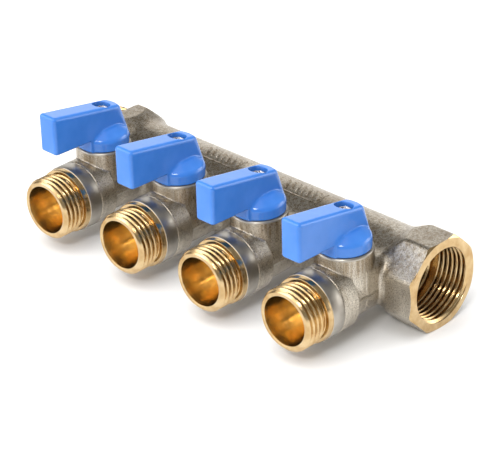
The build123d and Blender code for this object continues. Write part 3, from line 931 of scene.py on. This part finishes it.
adapter_path = turned(
    BRASS_SLOT,
    (ADAPTER_START, 7.6), (ADAPTER_START, ADAPTER_TAIL_R), (BARREL_END - 0.2, ADAPTER_TAIL_R),
)
adapter_path += turned(
    NICKEL_SLOT,
    (BARREL_END, 9.6), (BARREL_END, 11.0), (33.42, 11.2), (33.6, BARREL_R),
    (36.0, BARREL_R), (38.1, BARREL_R), (38.3, 11.22),
)
adapter_path += turned(
    BRASS_SLOT,
    (COLLAR_END, 11.05), (38.45, 10.95), (40.15, 10.95), (40.32, 10.88),
    (RIM_END, 10.7), (RIM_END, 9.6), (40.55, 9.4),
)
adapter_path += helix(
    40.9, 48.6, THREAD_MINOR_12, THREAD_MAJOR_12, outlet_envelope, BRASS_SLOT, per_pitch=20
)
adapter_path += turned(BRASS_SLOT, (OUTLET_END, 9.45), (OUTLET_END, 8.5), (48.6, 8.3))
adapter_path += turned(
    BORE_SLOT,
    (48.35, OUTLET_BORE_R), (42.0, OUTLET_BORE_R), (35.5, OUTLET_BORE_R),
    (31.0, 5.6), (30.6, 5.5), (29.4, 5.5), (29.4, 7.55),
)
lip_path = turned(
    0,
    (LIP_START, LIP_INNER_R), (LIP_START, BARREL_R + 0.01), (32.5, BARREL_R + 0.01), (32.98, BARREL_R),
    (33.14, 11.24), (33.28, 11.08), (33.28, LIP_INNER_R),
)
rim_path = turned(
    0,
    (RIM_BOTTOM, 8.6), (RIM_BOTTOM, BONNET_R + 0.01), (14.62, BONNET_R + 0.01), (14.72, 9.38),
    (15.06, 9.04), (RIM_TOP, 8.9), (RIM_TOP, 7.0), (14.6, 7.0), (14.6, 8.6),
)
adapter_mesh = rings("outlet_fitting", adapter_path, around=224, place=about_outlet)
lip_mesh = rings("barrel_lip", lip_path, around=224, place=about_outlet)
rim_mesh = rings("bonnet_rim", rim_path, around=160, place=about_stem)
for mesh in (adapter_mesh, lip_mesh, rim_mesh):
    shade(mesh)
for number, x in VALVES.items():
    put(rim_mesh, f"bonnet_rim_{number}", "manifold", "body_nickel", [collar], x)
    put(
        adapter_mesh, f"outlet_fitting_{number}", "manifold", "adapter_brass",
        [collar, brass_outlet, bore_brass_painted_fill], x, replaced=[f"outlet_adapter_{number}"],
    )
    put(lip_mesh, f"barrel_lip_{number}", "manifold", "body_nickel", [plain_nickel], x)

# ---- raised pads behind the two middle bonnets ---------------------------------------------------
pad = solid("bar_pad_2", pad_shape, (-9, -4.5, 11.5), (9, 4.5, 14.2), step=0.17, triangles=14000)
put(pad, "bar_pad_2", "manifold", "body_nickel", [plain_nickel], VALVES[2])
put(pad.data, "bar_pad_3", "manifold", "body_nickel", [plain_nickel], VALVES[3])

# ---- handles and their screws --------------------------------------------------------------------
lever = solid(
    "lever_1", handle_shape, (-9.4, -25.2, 15), (9.4, 9.4, 34.3), step=0.26, triangles=60000
)
screw = solid(
    "screw_1", screw_shape, (-3.2, -3.2, 16.6), (3.2, 3.2, 28), step=0.11, triangles=16000
)
for number, x in VALVES.items():
    for source, kind, slot_name, finish, cad_name in (
        (lever, "lever", "handle_blue", blue, "handle"),
        (screw, "screw", "screw_steel", steel, "handle_screw"),
    ):
        made = source if number == 1 else source.data
        name, replaced = f"{kind}_{number}", [f"{cad_name}_{number}"]
        put(made, name, f"valve_{number}", slot_name, [finish], x, -STEM_Y, replaced)

# ---- floor ---------------------------------------------------------------------------------------
HALF_FLOOR = 3.0
FLOOR_CORNERS = ((-1, -1), (1, -1), (1, 1), (-1, 1))
floor_points = [(HALF_FLOOR * x, HALF_FLOOR * y, cad_low.z) for x, y in FLOOR_CORNERS]
floor_mesh = bpy.data.meshes.new("floor")
floor_mesh.from_pydata(floor_points, [], [(0, 1, 2, 3)])
floor_mesh.materials.append(paper())
floor = bpy.data.objects.new("floor", floor_mesh)
bpy.context.scene.collection.objects.link(floor)

# ---- studio light --------------------------------------------------------------------------------
BASE_LIGHT = 0.3
LEAST_LIGHT = 0.04
LOBES = (
    # towards, cosine where it is full, cosine where it ends, light added or taken away
    ((-0.58, -0.51, 0.62), 0.95, 0.86, 1.9),
    ((-0.40, -0.87, 0.26), 0.93, 0.82, 1.8),
    ((0.05, -0.45, 0.89), 0.96, 0.80, 0.9),
    ((-0.66, 0.0, 0.74), 0.93, 0.84, -0.9),
    ((-0.61, 0.72, 0.32), 0.96, 0.89, 1.1),
    ((0.60, 0.78, 0.04), 0.97, 0.88, 1.2),
    ((0.50, 0.85, 0.10), 0.985, 0.94, 2.4),
)
CENTRE = (-0.07, -0.02, 0.0)

world = bpy.data.worlds.new("studio")
bpy.context.scene.world = world
world.use_nodes = True
tree = world.node_tree
sky = tree.nodes["Background"]
sky.inputs["Color"].default_value = (1.0, 0.99, 0.975, 1)
direction = tree.nodes.new("ShaderNodeTexCoord").outputs["Generated"]


def glow(total, towards, narrow, wide, amount):
    """Adds light, or takes it away, round one direction; narrow and wide are cosines."""
    dot = tree.nodes.new("ShaderNodeVectorMath")
    dot.operation = "DOT_PRODUCT"
    tree.links.new(direction, dot.inputs[0])
    dot.inputs[1].default_value = Vector(towards).normalized()
    fade = tree.nodes.new("ShaderNodeMapRange")
    fade.interpolation_type = "SMOOTHSTEP"
    tree.links.new(dot.outputs["Value"], fade.inputs[0])
    for socket, value in zip(fade.inputs[1:5], (wide, narrow, 0, amount)):
        socket.default_value = value
    add = tree.nodes.new("ShaderNodeMath")
    tree.links.new(fade.outputs[0], add.inputs[0])
    if isinstance(total, float):
        add.inputs[1].default_value = total
    else:
        tree.links.new(total, add.inputs[1])
    return add.outputs[0]


tone = BASE_LIGHT
for lobe in LOBES:
    tone = glow(tone, *lobe)
least = tree.nodes.new("ShaderNodeMath")
least.operation = "MAXIMUM"
tree.links.new(tone, least.inputs[0])
least.inputs[1].default_value = LEAST_LIGHT
tree.links.new(least.outputs[0], sky.inputs["Strength"])


def softbox(name, position, width, height, power):
    """Rectangular light turned to the middle of the manifold."""
    light = bpy.data.lights.new(name, "AREA")
    light.shape = "RECTANGLE"
    light.size, light.size_y = width, height
    light.energy = power
    obj = bpy.data.objects.new(name, light)
    bpy.context.scene.collection.objects.link(obj)
    obj.location = position
    obj.rotation_mode = "QUATERNION"
    obj.rotation_quaternion = (Vector(CENTRE) - Vector(position)).to_track_quat("-Z", "Y")
    return obj


softbox("key", (0.38, -0.85, 0.86), width=0.3, height=0.2, power=5)
ceiling = softbox("ceiling", (-0.07, 0.1, 1.5), width=2.2, height=2.2, power=25)
ceiling.visible_glossy = False

# ---- camera --------------------------------------------------------------------------------------
LENS = 162.23
AZIMUTH = math.radians(44.41)
ELEVATION = math.radians(28.69)
ROLL = math.radians(-1.57)
AIM = Vector((-0.06809, -0.0150, 0.00269))
REACH = 0.72937

camera_data = bpy.data.cameras.new("camera")
camera_data.sensor_width = 36.0
camera_data.lens = LENS
camera_data.clip_start, camera_data.clip_end = 0.05, 20
camera = bpy.data.objects.new("camera", camera_data)
bpy.context.scene.collection.objects.link(camera)
flat = math.cos(ELEVATION)
back = Vector((math.sin(AZIMUTH) * flat, -math.cos(AZIMUTH) * flat, math.sin(ELEVATION)))
level = Vector((math.cos(AZIMUTH), math.sin(AZIMUTH), 0))
upright = back.cross(level)
right = level * math.cos(ROLL) + upright * math.sin(ROLL)
up = upright * math.cos(ROLL) - level * math.sin(ROLL)
turn = Matrix((right, up, back)).transposed().to_4x4()
camera.matrix_world = Matrix.Translation(AIM + back * REACH) @ turn
bpy.context.scene.camera = camera
bpy.context.scene.view_settings.view_transform = "Standard"
